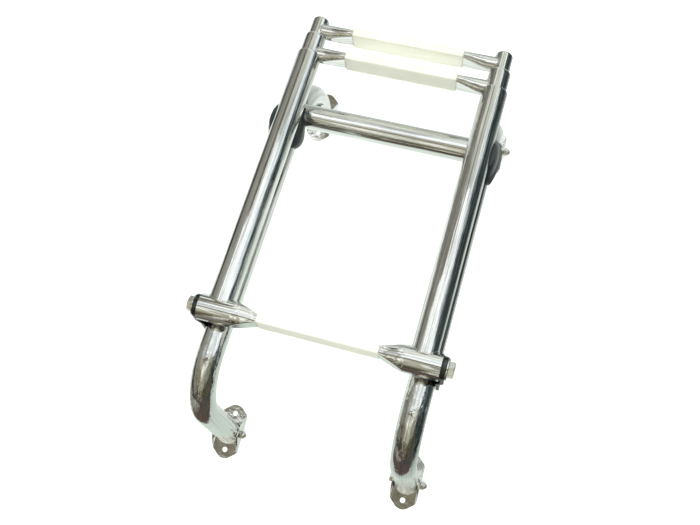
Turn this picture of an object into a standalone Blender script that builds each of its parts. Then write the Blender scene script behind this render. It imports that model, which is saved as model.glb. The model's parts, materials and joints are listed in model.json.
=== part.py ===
"""Boat boarding ladder: a base frame on four swivel brackets, a swing-down
outer section on two pivot bolts and two telescoping sections inside it.

Everything is in metres, +Z up.  The ladder lies stowed and retracted on its
four bracket plates, which sit on z = 0.  Most pieces are laid out in the
ladder's own axes (origin on the pivot axis, +Y along the rails, +Z away from
the mounting surface) and then turned by the rake of the mounting surface.
"""

import math

import bmesh
import bpy
from mathutils import Matrix, Vector

# ---------------------------------------------------------------- dimensions
GAP = 0.0003

RAIL_X = 0.123
RAIL_R = 0.016
RAIL_BORE = 0.0148
RAIL_END_Y = 0.3625

MIDDLE_R = 0.0137
MIDDLE_BORE = 0.0125
MIDDLE_START_Y = 0.030
MIDDLE_END_Y = 0.3906

INNER_R = 0.011
INNER_BORE = 0.0095
INNER_START_Y = 0.058
INNER_END_Y = 0.417

BASE_X = 0.126
BASE_R = 0.016
BASE_BORE = 0.0145
BASE_DROP = 0.034
LOWER_BOLT_Y = -0.103
LOWER_BOLT_DROP = 0.218
UPPER_BOLT_Y = 0.365
UPPER_BOLT_DROP = 0.150
LOWER_BEND = 0.064
UPPER_BEND = 0.098
LEG_PAST_BOLT = 0.009

CROSS_BAR_Y = 0.2955
CROSS_BAR_R = 0.0159
CROSS_BAR_BORE = 0.0144

STEP_A_Y = 0.3665
STEP_B_Y = 0.4025
HUB_HALF = 0.1457
HUB_R = 0.016
ARM_R = 0.010
ARM_WALL = 0.0014
TREAD_HALF = 0.0735
TREAD_WIDE = 0.0285
TREAD_THICK = 0.0112
CORE_WIDE = 0.0242
CORE_THICK = 0.0070

LUG_X = 0.1475
LUG_FOOT_X = 0.1423
LUG_THICK = 0.004
LUG_R = 0.014


BRACKET_INNER = 0.0163
BRACKET_SHEET = 0.002
BRACKET_BOLT_H = 0.016
BRACKET_FLANK = 0.0255
BRACKET_TIP = 0.037
BRACKET_TIP_HALF = 0.005
BRACKET_HOLE_Y = 0.0253
BRACKET_HOLE_R = 0.0035
EAR_TOP_R = 0.0095
BOLT_R = 0.003

ROUND = 32

SHIFT_Y = -0.1232
RAKE = math.atan2(LOWER_BOLT_DROP - UPPER_BOLT_DROP, UPPER_BOLT_Y - LOWER_BOLT_Y)
TURN = Matrix.Rotation(-RAKE, 4, "X")


def lift_matrix():
    """Ladder axes to world axes, with the bracket plates on z = 0."""
    bolt = TURN @ Vector((0.0, LOWER_BOLT_Y, -LOWER_BOLT_DROP))
    shift_z = BRACKET_BOLT_H - bolt.z
    return Matrix.Translation((0.0, SHIFT_Y, shift_z)) @ TURN


LADDER = lift_matrix()
PIVOT = LADDER @ Vector((0.0, 0.0, 0.0))


# ----------------------------------------------------------------- materials
def make_material(name, colour, metallic, roughness):
    """One Principled material with the given look."""
    mat = bpy.data.materials.new(name)
    mat.use_nodes = True
    shader = mat.node_tree.nodes["Principled BSDF"]
    shader.inputs["Base Color"].default_value = (*colour, 1.0)
    shader.inputs["Metallic"].default_value = metallic
    shader.inputs["Roughness"].default_value = roughness
    return mat


LOOKS = {
    "polished": ((0.80, 0.80, 0.78), 1.0, 0.08),
    "fastener": ((0.72, 0.72, 0.70), 1.0, 0.22),
    "tread": ((0.80, 0.82, 0.74), 0.0, 0.45),
    "nylon": ((0.85, 0.86, 0.82), 0.0, 0.40),
    "black": ((0.02, 0.022, 0.024), 0.0, 0.38),
}


# ------------------------------------------------------------- mesh building
def ring_points(centre, across, up, radius, count=ROUND):
    """Points of a circle about centre in the plane of across and up."""
    points = []
    for i in range(count):
        a = 2.0 * math.pi * i / count
        points.append(centre + across * (radius * math.cos(a)) + up * (radius * math.sin(a)))
    return points


def add_ring(bm, points):
    return [bm.verts.new(p) for p in points]


def bridge(bm, a, b):
    """Quads between two rings of equal length."""
    n = len(a)
    for i in range(n):
        j = (i + 1) % n
        bm.faces.new((a[i], a[j], b[j], b[i]))


def loft(outer, inner=None):
    """Closed body through outer rings, with a bore through inner rings."""
    bm = bmesh.new()
    rings = [add_ring(bm, r) for r in outer]
    for a, b in zip(rings, rings[1:]):
        bridge(bm, a, b)
    if inner is None:
        bm.faces.new(list(reversed(rings[0])))
        bm.faces.new(rings[-1])
    else:
        holes = [add_ring(bm, r) for r in inner]
        for a, b in zip(holes, holes[1:]):
            bridge(bm, b, a)
        bridge(bm, holes[0], rings[0])
        bridge(bm, rings[-1], holes[-1])
    bmesh.ops.recalc_face_normals(bm, faces=bm.faces)
    return bm


def turned(profile, start, axis, count=ROUND):
    """Solid of revolution: profile is a list of (along, radius) pairs."""
    axis = axis.normalized()
    across = axis.orthogonal().normalized()
    up = axis.cross(across)
    return loft([ring_points(start + axis * s, across, up, r, count) for s, r in profile])


def turned_ring(profile, bore, start, axis, count=ROUND):
    """Solid of revolution with a bore: both lists are (along, radius) pairs."""
    axis = axis.normalized()
    across = axis.orthogonal().normalized()
    up = axis.cross(across)
    outer = [ring_points(start + axis * s, across, up, r, count) for s, r in profile]
    inner = [ring_points(start + axis * s, across, up, r, count) for s, r in bore]
    return loft(outer, inner)


def prism(outline, axis, depth):
    """Closed body from a flat outline pushed along axis by depth."""
    bm = bmesh.new()
    low = add_ring(bm, outline)
    high = add_ring(bm, [p + axis * depth for p in outline])
    bridge(bm, low, high)
    bm.faces.new(list(reversed(low)))
    bm.faces.new(high)
    bmesh.ops.recalc_face_normals(bm, faces=bm.faces)
    return bm


def to_object(name, bm, look, matrix, origin=None, sharp=35.0):
    """Turn a bmesh into a named object with its origin where it is wanted."""
    origin = Vector((0.0, 0.0, 0.0)) if origin is None else origin
    bm.transform(Matrix.Translation(-origin) @ matrix)
    mesh = bpy.data.meshes.new(name)
    bm.to_mesh(mesh)
    bm.free()
    obj = bpy.data.objects.new(name, mesh)
    obj.location = origin
    bpy.context.collection.objects.link(obj)
    colour, metallic, roughness = LOOKS[look]
    mesh.materials.append(make_material(name + "_look", colour, metallic, roughness))
    for poly in mesh.polygons:
        poly.use_smooth = True
    mesh.set_sharp_from_angle(angle=math.radians(sharp))
    return obj


def cutter(name, bm, matrix):
    """Hidden tool body for boolean cuts."""
    obj = to_object(name, bm, "black", matrix)
    obj.hide_render = True
    obj.display_type = "WIRE"
    return obj


def apply_boolean(obj, tool, operation):
    """Cut or join obj with tool, bake the result and drop the tool."""
    mod = obj.modifiers.new("step", "BOOLEAN")
    mod.operation = operation
    mod.solver = "EXACT"
    mod.object = tool
    bpy.context.view_layer.update()
    graph = bpy.context.evaluated_depsgraph_get()
    baked = bpy.data.meshes.new_from_object(obj.evaluated_get(graph))
    look = obj.data.materials[0]
    obj.modifiers.clear()
    obj.data = baked
    baked.materials.clear()
    baked.materials.append(look)
    bm = bmesh.new()
    bm.from_mesh(baked)
    bmesh.ops.remove_doubles(bm, verts=bm.verts, dist=0.000002)
    bmesh.ops.dissolve_degenerate(bm, dist=0.000002, edges=bm.edges)
    bm.to_mesh(baked)
    bm.free()
    bpy.data.objects.remove(tool, do_unlink=True)


def cut(obj, bm, matrix):
    apply_boolean(obj, cutter(obj.name + "_cut", bm, matrix), "DIFFERENCE")


def join(obj, bm, matrix):
    apply_boolean(obj, cutter(obj.name + "_add", bm, matrix), "UNION")


def shade(obj, sharp=35.0):
    for poly in obj.data.polygons:
        poly.use_smooth = True
    obj.data.set_sharp_from_angle(angle=math.radians(sharp))


# ------------------------------------------------------------------ sections
X_AXIS = Vector((1.0, 0.0, 0.0))
Y_AXIS = Vector((0.0, 1.0, 0.0))
Z_AXIS = Vector((0.0, 0.0, 1.0))


def blend_section(x, wide, thick, squareness, count=ROUND):
    """Section across X that runs from round (0) to a flat slab (1)."""
    power = 2.0 + 4.0 * squareness
    points = []
    for i in range(count):
        a = 2.0 * math.pi * (i + 0.5) / count
        c, s = math.cos(a), math.sin(a)
        y = 0.5 * thick * math.copysign(abs(c) ** (2.0 / power), c)
        z = 0.5 * wide * math.copysign(abs(s) ** (2.0 / power), s)
        points.append(Vector((x, y, z)))
    return points


def step_tube_rings(end_x, end_r, taper_x, wall):
    """Rings of one formed step tube, round ends and a flat middle."""
    rows = [(end_x, 2 * end_r, 2 * end_r, 0.0)]
    tip_x = TREAD_HALF + GAP
    for k in range(5):
        t = k / 4.0
        x = taper_x + (tip_x - taper_x) * t
        wide = 2 * end_r + (TREAD_WIDE - 2 * end_r) * t
        thick = 2 * end_r + (TREAD_THICK - 2 * end_r) * t
        rows.append((x, wide, thick, t))
    rows.append((tip_x - 0.0001, CORE_WIDE, CORE_THICK, 1.0))
    half = [blend_section(x, w, h, q) for x, w, h, q in rows]
    bore = [blend_section(x, w - 2 * wall, h - 2 * wall, q) for x, w, h, q in rows]
    return mirror_rings(half), mirror_rings(bore)


def mirror_rings(half):
    """Rings from +X to -X built from the +X half."""
    other = [[Vector((-p.x, p.y, p.z)) for p in ring] for ring in reversed(half)]
    return half + other


# --------------------------------------------------------------- base frame
def base_path():
    """Centre points and directions of one base tube, lower end to upper end."""
    top = -BASE_DROP
    path = []
    leg_end = -LOWER_BOLT_DROP - LEG_PAST_BOLT
    path.append((LOWER_BOLT_Y, leg_end, 90.0))
    for k in range(9):
        a = 90.0 - 11.25 * k
        y = LOWER_BOLT_Y + LOWER_BEND * (1.0 - math.sin(math.radians(a)))
        z = top - LOWER_BEND * (1.0 - math.cos(math.radians(a)))
        path.append((y, z, a))
    for k in range(9):
        a = -11.25 * k
        y = UPPER_BOLT_Y - UPPER_BEND * (1.0 + math.sin(math.radians(a)))
        z = top - UPPER_BEND * (1.0 - math.cos(math.radians(a)))
        path.append((y, z, a))
    path.append((UPPER_BOLT_Y, -UPPER_BOLT_DROP - LEG_PAST_BOLT, -90.0))
    return path


def base_drop(y):
    """How far the base tube centre lies below the rail centre at y."""
    past = y - (UPPER_BOLT_Y - UPPER_BEND)
    if past <= 0.0:
        return BASE_DROP
    return BASE_DROP + UPPER_BEND - math.sqrt(UPPER_BEND**2 - past**2)


def base_sweep(side, radius, count):
    """Rings of the given radius along one base tube."""
    rings = []
    for y, z, angle in base_path():
        a = math.radians(angle)
        up = Vector((0.0, -math.sin(a), math.cos(a)))
        rings.append(ring_points(Vector((side * BASE_X, y, z)), X_AXIS, up, radius, count))
    return rings


def build_base_tube(name, side):
    """Bent side tube of the base frame, drilled for its two bracket bolts."""
    body = loft(base_sweep(side, BASE_R, 28), base_sweep(side, BASE_BORE, 28))
    obj = to_object(name, body, "polished", LADDER)
    for y, z in ((LOWER_BOLT_Y, -LOWER_BOLT_DROP), (UPPER_BOLT_Y, -UPPER_BOLT_DROP)):
        start = Vector((side * BASE_X - 0.02, y, z))
        hole = turned([(0.0, BOLT_R + GAP), (0.04, BOLT_R + GAP)], start, X_AXIS, 16)
        cut(obj, hole, LADDER)
    shade(obj)


def build_cross_bar():
    """Straight tube between the base tubes, ends fitted round them."""
    reach = BASE_X - 0.002
    start = Vector((-reach, CROSS_BAR_Y, -base_drop(CROSS_BAR_Y)))
    span = [(0.0, CROSS_BAR_R), (2 * reach, CROSS_BAR_R)]
    bore = [(0.0, CROSS_BAR_BORE), (2 * reach, CROSS_BAR_BORE)]
    obj = to_object("cross_bar", turned_ring(span, bore, start, X_AXIS), "polished", LADDER)
    for side in (-1, 1):
        cut(obj, loft(base_sweep(side, BASE_R + GAP, 28)), LADDER)
    shade(obj)


def bracket_outline():
    """Plan of the bracket plate: a long hexagon with blunt points."""
    w = BRACKET_INNER + BRACKET_SHEET
    f, t, h = BRACKET_FLANK, BRACKET_TIP, BRACKET_TIP_HALF
    corners = [(w, -f), (w, f), (h, t), (-h, t), (-w, f), (-w, -f), (-h, -t), (h, -t)]
    return [Vector((x, y, 0.0)) for x, y in corners]


def ear_outline():
    """Side view of one bracket ear in the YZ plane."""
    points = [Vector((0.0, -BRACKET_FLANK, 0.0)), Vector((0.0, BRACKET_FLANK, 0.0))]
    points.append(Vector((0.0, BRACKET_FLANK, 0.0045)))
    for k in range(9):
        a = math.radians(40.0 + 12.5 * k)
        y = EAR_TOP_R * math.cos(a)
        z = BRACKET_BOLT_H + EAR_TOP_R * math.sin(a)
        points.append(Vector((0.0, y, z)))
    points.append(Vector((0.0, -BRACKET_FLANK, 0.0045)))
    return points


def build_bracket(name, at):
    """Folded bracket: plate with two screw holes and two drilled ears."""
    place = Matrix.Translation(at)
    obj = to_object(name, prism(bracket_outline(), Z_AXIS, BRACKET_SHEET), "polished", place)
    for side in (-1, 1):
        x = BRACKET_INNER if side > 0 else -BRACKET_INNER - BRACKET_SHEET
        ear = prism(ear_outline(), X_AXIS, BRACKET_SHEET)
        join(obj, ear, place @ Matrix.Translation((x, 0.0, 0.0)))
    start = Vector((-0.03, 0.0, BRACKET_BOLT_H))
    cut(obj, turned([(0.0, BOLT_R + GAP), (0.06, BOLT_R + GAP)], start, X_AXIS, 16), place)
    for y in (-BRACKET_HOLE_Y, BRACKET_HOLE_Y):
        start = Vector((0.0, y, -0.01))
        cut(obj, turned([(0.0, BRACKET_HOLE_R), (0.03, BRACKET_HOLE_R)], start, Z_AXIS, 20), place)
    shade(obj)


def hexagon(x, flat):
    """Six corners about the X axis, flat to flat distance given."""
    points = []
    for i in range(6):
        a = math.radians(60.0 * i)
        r = 0.5 * flat / math.cos(math.radians(30.0))
        points.append(Vector((x, r * math.cos(a), r * math.sin(a))))
    return points


def hex_bolt(head, flat, shank_r, length):
    """Bolt along +X: hexagon head below x = 0, shank above, chamfered tip."""
    bm = prism(hexagon(-head, flat), X_AXIS, head)
    edges = [e for e in bm.edges if all(v.co.x < -0.5 * head for v in e.verts)]
    bmesh.ops.bevel(bm, geom=edges, offset=0.0004, segments=1, affect="EDGES")
    tip = 0.0008
    rod = [(-0.001, shank_r), (length - tip, shank_r), (length, shank_r - tip)]
    return bm, turned(rod, Vector((0.0, 0.0, 0.0)), X_AXIS, 20)


def build_bolt(name, look, sizes, place, origin=None):
    """Hexagon bolt as one body."""
    head, flat, shank_r, length = sizes
    bm, rod = hex_bolt(head, flat, shank_r, length)
    obj = to_object(name, bm, look, place, origin)
    join(obj, rod, place)
    shade(obj)


def build_lock_nut(name, place):
    """Locking nut along +X: hexagon with a round collar on its far side."""
    bm = prism(hexagon(0.0, 0.010), X_AXIS, 0.0048)
    obj = to_object(name, bm, "fastener", place)
    collar = [(0.004, 0.0046), (0.0058, 0.0046), (0.0066, 0.0040)]
    join(obj, turned(collar, Vector((0.0, 0.0, 0.0)), X_AXIS, 24), place)
    start = Vector((-0.002, 0.0, 0.0))
    cut(obj, turned([(0.0, BOLT_R + GAP), (0.012, BOLT_R + GAP)], start, X_AXIS, 16), place)
    shade(obj)


def build_bracket_set(label, side, bolt_y, bolt_drop):
    """One bracket with its cross bolt and lock nut."""
    bolt = LADDER @ Vector((side * BASE_X, bolt_y, -bolt_drop))
    build_bracket("bracket_" + label, Vector((bolt.x, bolt.y, 0.0)))
    face = BRACKET_INNER + BRACKET_SHEET + GAP
    place = Matrix.Translation((bolt.x - face, bolt.y, bolt.z))
    build_bolt("bracket_bolt_" + label, "fastener", (0.004, 0.010, BOLT_R, 2 * face + 0.0085), place)
    build_lock_nut("bracket_nut_" + label, Matrix.Translation((bolt.x + face, bolt.y, bolt.z)))


def lug_offset(z):
    """How far the lug stands out beyond the base tube at height z."""
    high, low = -0.0155, -0.0230
    t = min(1.0, max(0.0, (z - low) / (high - low)))
    return LUG_FOOT_X + (LUG_X - LUG_FOOT_X) * t


def build_lug(name, side):
    """Joggled plate on the base tube that carries the pivot bolt."""
    levels = [-0.046, -0.040, -0.032, -0.0230, -0.0155]
    right = [(0.0155 - 0.0015 * (z + 0.046) / 0.046, z) for z in levels]
    angles = [math.radians(a) for a in range(0, 181, 15)]
    arc = [(LUG_R * math.cos(a), LUG_R * math.sin(a)) for a in angles]
    left = [(-y, z) for y, z in reversed(right)]
    foot = [(-0.0115, -0.0500), (0.0115, -0.0500)]
    loop = right + arc + left + foot
    bm = bmesh.new()
    near = [bm.verts.new((0.0, y, z)) for y, z in loop]
    bm.faces.new(near)
    for z in (-0.0155, -0.0230):
        geom = bm.verts[:] + bm.edges[:] + bm.faces[:]
        bmesh.ops.bisect_plane(bm, geom=geom, plane_co=(0, 0, z), plane_no=(0, 0, 1))
    grown = bmesh.ops.extrude_face_region(bm, geom=bm.faces[:])
    moved = [v for v in grown["geom"] if isinstance(v, bmesh.types.BMVert)]
    bmesh.ops.translate(bm, verts=moved, vec=(LUG_THICK, 0.0, 0.0))
    for v in bm.verts:
        v.co.x = side * (v.co.x + lug_offset(v.co.z))
    bmesh.ops.recalc_face_normals(bm, faces=bm.faces)
    obj = to_object(name, bm, "black", LADDER)
    start = Vector((side * LUG_X - 0.01, 0.0, 0.0))
    cut(obj, turned([(0.0, 0.0053), (0.025, 0.0053)], start, X_AXIS, 24), LADDER)
    shade(obj)


CLIP_LEVELS = (
    # height, half length, outward swell
    (-0.0425, 0.0200, 0.0010),
    (-0.0340, 0.0300, 0.0058),
    (-0.0185, 0.0310, 0.0086),
    (-0.0150, 0.0300, 0.0088),
    (-0.0138, 0.0295, 0.0088),
    (-0.0060, 0.0240, 0.0078),
    (0.0018, 0.0165, 0.0046),
)


def clip_ring(side, z, half, swell):
    """Plan outline of the stow clip at height z, bowed on its outer side."""
    middle = 0.2720 - 0.0050 * (z + 0.0425) / 0.0443
    near = RAIL_X + 0.002
    far = RAIL_X + RAIL_R + 0.0012
    if z < -0.0145:
        reach = math.sqrt((BASE_R + 0.0045) ** 2 - (z + BASE_DROP) ** 2)
        near = BASE_X - reach
        far = BASE_X + min(reach, BASE_R + 0.0010)
    ring = []
    for k in range(9):
        a = math.pi * (k / 8.0 - 0.5)
        ring.append(Vector((side * (far + swell * max(0.0, math.cos(a))), middle + half * math.sin(a), z)))
    for k in (-1, 0, 1):
        ring.append(Vector((side * near, middle - 0.985 * half * k, z)))
    return ring


def build_clip(name, side):
    """Stow clip: saddle on the base tube, sprung outer wall along the rail."""
    rings = [clip_ring(side, z, half, swell) for z, half, swell in CLIP_LEVELS]
    obj = to_object(name, loft(rings), "black", LADDER)
    seat = [(0.0, RAIL_R + GAP), (0.10, RAIL_R + GAP)]
    cut(obj, turned(seat, Vector((side * RAIL_X, 0.225, 0.0)), Y_AXIS), LADDER)
    cut(obj, loft(base_sweep(side, BASE_R + GAP, 28)), LADDER)
    relief = [(0.0, CROSS_BAR_R + 2 * GAP), (0.04, CROSS_BAR_R + 2 * GAP)]
    start = Vector((side * (BASE_X + 0.002), CROSS_BAR_Y, -base_drop(CROSS_BAR_Y)))
    cut(obj, turned(relief, start, -X_AXIS * side), LADDER)
    shade(obj)


# ------------------------------------------------------------ outer section
def build_pivot_set(label, side):
    """Bolt, steel washer, nylon spacer and threaded insert at one hub end."""
    facing = Matrix.Rotation(math.pi if side > 0 else 0.0, 4, "Z")
    head_x = LUG_X + LUG_THICK + GAP + 0.002 + GAP
    place = LADDER @ Matrix.Translation((side * head_x, 0.0, 0.0)) @ facing
    build_bolt("pivot_bolt_" + label, "fastener", (0.0065, 0.017, 0.005, 0.034), place, PIVOT)
    axis = X_AXIS * side
    rings = (
        ("pivot_washer_", "fastener", LUG_X + LUG_THICK + GAP, 0.0020, 0.0130, 0.0053),
        ("pivot_spacer_", "black", HUB_HALF + GAP, 0.0012, 0.0145, 0.0053),
        ("pivot_insert_", "fastener", HUB_HALF - 0.0265, 0.0265, 0.0143, 0.0053),
    )
    for stem, look, x, thick, radius, bore in rings:
        start = Vector((side * x, 0.0, 0.0))
        edge = 0.0003
        outer = [(0.0, radius - edge), (edge, radius), (thick - edge, radius), (thick, radius - edge)]
        inner = [(0.0, bore), (thick, bore)]
        to_object(stem + label, turned_ring(outer, inner, start, axis), look, LADDER, PIVOT)


def build_pivot_step_tube():
    """Formed tube that is the hub at both ends and the core of the tread."""
    outer, inner = step_tube_rings(HUB_HALF, HUB_R, 0.1045, ARM_WALL)
    to_object("pivot_step_tube", loft(outer, inner), "polished", LADDER, PIVOT)


def build_step_tube(name, y, tube_r, tube_x):
    """Formed step tube fitted against the two rails that carry it."""
    outer, inner = step_tube_rings(tube_x - 0.002, ARM_R, 0.1065, ARM_WALL)
    place = LADDER @ Matrix.Translation((0.0, y, 0.0))
    obj = to_object(name, loft(outer, inner), "polished", place, PIVOT)
    for side in (-1, 1):
        start = Vector((side * tube_x, y - 0.03, 0.0))
        round_cut = [(0.0, tube_r + GAP), (0.06, tube_r + GAP)]
        cut(obj, turned(round_cut, start, Y_AXIS), LADDER)
    shade(obj)


def build_tread(name, y):
    """Plastic tread sleeve over the flat middle of a step tube."""
    half = TREAD_HALF
    stations = (half, half - 0.0008, 0.0, -half + 0.0008, -half)
    trims = (0.0008, 0.0, 0.0, 0.0, 0.0008)
    outer = []
    inner = []
    for x, trim in zip(stations, trims):
        outer.append(blend_section(x, TREAD_WIDE - trim, TREAD_THICK - trim, 1.6))
        inner.append(blend_section(x, CORE_WIDE + 2 * GAP, CORE_THICK + 2 * GAP, 1.0))
    place = LADDER @ Matrix.Translation((0.0, y, 0.0))
    to_object(name, loft(outer, inner), "tread", place, PIVOT)


def build_straight_tube(name, side, radius, bore, start_y, end_y):
    """Straight rail tube with slightly rounded mouth."""
    edge = 0.0004
    run = end_y - start_y
    outer = [(0.0, radius), (run - edge, radius), (run, radius - edge)]
    inner = [(0.0, bore), (run - edge, bore), (run, bore)]
    start = Vector((side * RAIL_X, start_y, 0.0))
    return to_object(name, turned_ring(outer, inner, start, Y_AXIS), "polished", LADDER, PIVOT)


def build_outer_tube(name, side):
    """Outer rail, its lower end fitted round the hub."""
    obj = build_straight_tube(name, side, RAIL_R, RAIL_BORE, 0.003, RAIL_END_Y)
    start = Vector((side * RAIL_X - 0.03, 0.0, 0.0))
    cut(obj, turned([(0.0, HUB_R + GAP), (0.06, HUB_R + GAP)], start, X_AXIS), LADDER)
    cut_step_notch(obj, side)
    shade(obj)


def cut_step_notch(obj, side):
    """Notch in the mouth of an outer rail where the next step nests."""
    radius = ARM_R + 0.0005
    start = Vector((side * (RAIL_X - 0.002), STEP_A_Y, 0.0))
    cut(obj, turned([(0.0, radius), (0.03, radius)], start, -X_AXIS * side), LADDER)


def build_mouth_glide(name, side, mouth_y, tube_r, bore_r, inner_r):
    """Nylon glide in a tube mouth: thin sleeve inside, flange on the end."""
    sleeve_r = bore_r - GAP
    flange = 0.0012
    length = 0.034
    top = mouth_y + GAP
    start = Vector((side * RAIL_X, top - length, 0.0))
    rim_r = tube_r - 0.0006
    outer = [(0.0, sleeve_r), (length, sleeve_r), (length, rim_r), (length + flange, rim_r)]
    inner = [(0.0, inner_r + GAP), (length + flange, inner_r + GAP)]
    return to_object(name, turned_ring(outer, inner, start, Y_AXIS), "nylon", LADDER, PIVOT)


def build_end_guide(name, side, end_y, bore_r, outer_bore_r):
    """Nylon guide on the hidden end of a sliding tube."""
    spigot = bore_r - GAP
    collar = outer_bore_r - GAP
    bore = spigot - 0.002
    start = Vector((side * RAIL_X, end_y - 0.010 - GAP, 0.0))
    outer = [(0.0, collar), (0.010, collar), (0.010, spigot), (0.024, spigot)]
    inner = [(0.0, bore), (0.024, bore)]
    to_object(name, turned_ring(outer, inner, start, Y_AXIS), "nylon", LADDER, PIVOT)


def build_end_cap(name, side):
    """Plug that closes the visible end of the inner tube."""
    start = Vector((side * RAIL_X, INNER_END_Y - 0.012, 0.0))
    spigot = INNER_BORE - GAP
    top = 0.012 + GAP
    outer = [(0.0, spigot), (top, spigot), (top, INNER_R - 0.0004)]
    outer += [(top + 0.0012, INNER_R - 0.0004), (top + 0.0022, INNER_R - 0.0016)]
    to_object(name, turned(outer, start, Y_AXIS), "black", LADDER, PIVOT)


def clear_scene():
    """Start from an empty scene."""
    for obj in list(bpy.data.objects):
        bpy.data.objects.remove(obj, do_unlink=True)


def build_base_frame():
    build_cross_bar()
    for label, side in (("left", -1), ("right", 1)):
        build_base_tube("base_tube_" + label, side)
        build_lug("pivot_lug_" + label, side)
        build_clip("stow_clip_" + label, side)
        build_bracket_set("lower_" + label, side, LOWER_BOLT_Y, LOWER_BOLT_DROP)
        build_bracket_set("upper_" + label, side, UPPER_BOLT_Y, UPPER_BOLT_DROP)


def build_outer_section():
    build_pivot_step_tube()
    build_tread("pivot_tread", 0.0)
    for label, side in (("left", -1), ("right", 1)):
        build_pivot_set(label, side)
        build_outer_tube("outer_tube_" + label, side)
        radii = (RAIL_R, RAIL_BORE, MIDDLE_R)
        glide = build_mouth_glide("outer_glide_" + label, side, RAIL_END_Y, *radii)
        cut_step_notch(glide, side)
        shade(glide)


def build_middle_section():
    build_step_tube("middle_step_tube", STEP_A_Y, MIDDLE_R, RAIL_X)
    build_tread("middle_tread", STEP_A_Y)
    for label, side in (("left", -1), ("right", 1)):
        ends = (MIDDLE_START_Y, MIDDLE_END_Y)
        build_straight_tube("middle_tube_" + label, side, MIDDLE_R, MIDDLE_BORE, *ends)
        build_mouth_glide("middle_glide_" + label, side, MIDDLE_END_Y, MIDDLE_R, MIDDLE_BORE, INNER_R)
        build_end_guide("middle_guide_" + label, side, MIDDLE_START_Y, MIDDLE_BORE, RAIL_BORE)


def build_inner_section():
    build_step_tube("inner_step_tube", STEP_B_Y, INNER_R, RAIL_X)
    build_tread("inner_tread", STEP_B_Y)
    for label, side in (("left", -1), ("right", 1)):
        ends = (INNER_START_Y, INNER_END_Y)
        build_straight_tube("inner_tube_" + label, side, INNER_R, INNER_BORE, *ends)
        build_end_guide("inner_guide_" + label, side, INNER_START_Y, INNER_BORE, MIDDLE_BORE)
        build_end_cap("inner_cap_" + label, side)


clear_scene()
build_base_frame()
build_outer_section()
build_middle_section()
build_inner_section()
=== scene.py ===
"""Looks of the stowed boat boarding ladder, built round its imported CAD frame."""

import json
from math import atan2, copysign, cos, exp, pi, radians, sin, sqrt

import bmesh
import bpy
from mathutils import Matrix, Vector


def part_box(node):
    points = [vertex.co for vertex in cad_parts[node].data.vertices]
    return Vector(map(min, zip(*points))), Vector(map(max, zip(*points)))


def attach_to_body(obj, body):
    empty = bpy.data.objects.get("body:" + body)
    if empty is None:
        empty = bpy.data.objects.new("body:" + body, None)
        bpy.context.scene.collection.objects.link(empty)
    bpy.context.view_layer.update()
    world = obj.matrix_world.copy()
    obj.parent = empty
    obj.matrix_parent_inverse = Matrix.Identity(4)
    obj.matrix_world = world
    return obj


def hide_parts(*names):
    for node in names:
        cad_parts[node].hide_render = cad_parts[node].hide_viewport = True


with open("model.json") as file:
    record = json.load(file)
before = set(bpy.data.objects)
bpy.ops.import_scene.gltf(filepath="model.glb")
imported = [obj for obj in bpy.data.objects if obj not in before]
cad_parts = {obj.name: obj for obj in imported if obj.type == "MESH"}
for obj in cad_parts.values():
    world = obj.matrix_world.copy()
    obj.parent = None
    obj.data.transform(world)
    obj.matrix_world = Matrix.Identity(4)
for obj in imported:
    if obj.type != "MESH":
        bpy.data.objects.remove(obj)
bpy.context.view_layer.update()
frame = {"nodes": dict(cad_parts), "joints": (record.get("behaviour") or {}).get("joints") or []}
nodes = frame["nodes"]
joints = {j["name"]: j for j in frame["joints"]}

# ------------------------------------------------------------------ places
# The ladder's own axes: origin on the hinge, +X along it, +Y up the rails.
PIVOT = Vector(joints["ladder_swing"]["pos_m"])
RAIL_DIR = Vector(joints["middle_slide"]["axis"]).normalized()
X_AXIS = Vector((1.0, 0.0, 0.0))
Y_AXIS = Vector((0.0, 1.0, 0.0))
Z_AXIS = Vector((0.0, 0.0, 1.0))
RAKE = atan2(-RAIL_DIR.z, RAIL_DIR.y)
LADDER = Matrix.Translation(PIVOT) @ Matrix.Rotation(-RAKE, 4, "X")

RAIL_X = 0.123
OUTER_R, OUTER_BORE, OUTER_END = 0.016, 0.0148, 0.3640
MIDDLE_R, MIDDLE_BORE, MIDDLE_START, MIDDLE_END = 0.0137, 0.0125, 0.030, 0.3915
INNER_R, INNER_BORE, INNER_START, INNER_END = 0.011, 0.0095, 0.058, 0.4180
STEP_A_Y, STEP_B_Y = 0.3665, 0.4025
HUB_R, HUB_HALF, FOOT_LIMIT = 0.016, 0.1457, 0.0140
ARM_R = 0.010
TREAD_HALF, TREAD_WIDE, TREAD_THICK = 0.0735, 0.0285, 0.0112
BASE_X, BASE_R, BASE_BORE, BASE_DROP = 0.126, 0.016, 0.0145, 0.034
LOWER_Y, LOWER_DROP, LOWER_BEND = -0.103, 0.218, 0.064
UPPER_Y, UPPER_DROP, UPPER_BEND = 0.365, 0.150, 0.098
LEG_PAST = 0.009
BAR_Y, BAR_R, BAR_BORE = 0.2955, 0.0159, 0.0144
LUG_FACE = 0.1515
ARM_TAPER_X, ARM_TIP_WIDE = 0.1065, 0.0262
SIDES = (("left", -1), ("right", 1))
# stage, radius, bore, start and end along the rail
SLIDING = (
    ("middle", MIDDLE_R, MIDDLE_BORE, MIDDLE_START, MIDDLE_END),
    ("inner", INNER_R, INNER_BORE, INNER_START, INNER_END))
# stage, body, y, (end x, end radius, taper x, tip width), radius that the ends are coped to
STEPS = (
    ("pivot", "outer", 0.0, (HUB_HALF, HUB_R, 0.1045, 0.0225), None),
    ("middle", "middle", STEP_A_Y, (0.1100, ARM_R, ARM_TAPER_X, ARM_TIP_WIDE), MIDDLE_R),
    ("inner", "inner", STEP_B_Y, (0.1125, ARM_R, ARM_TAPER_X, ARM_TIP_WIDE), INNER_R))


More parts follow.
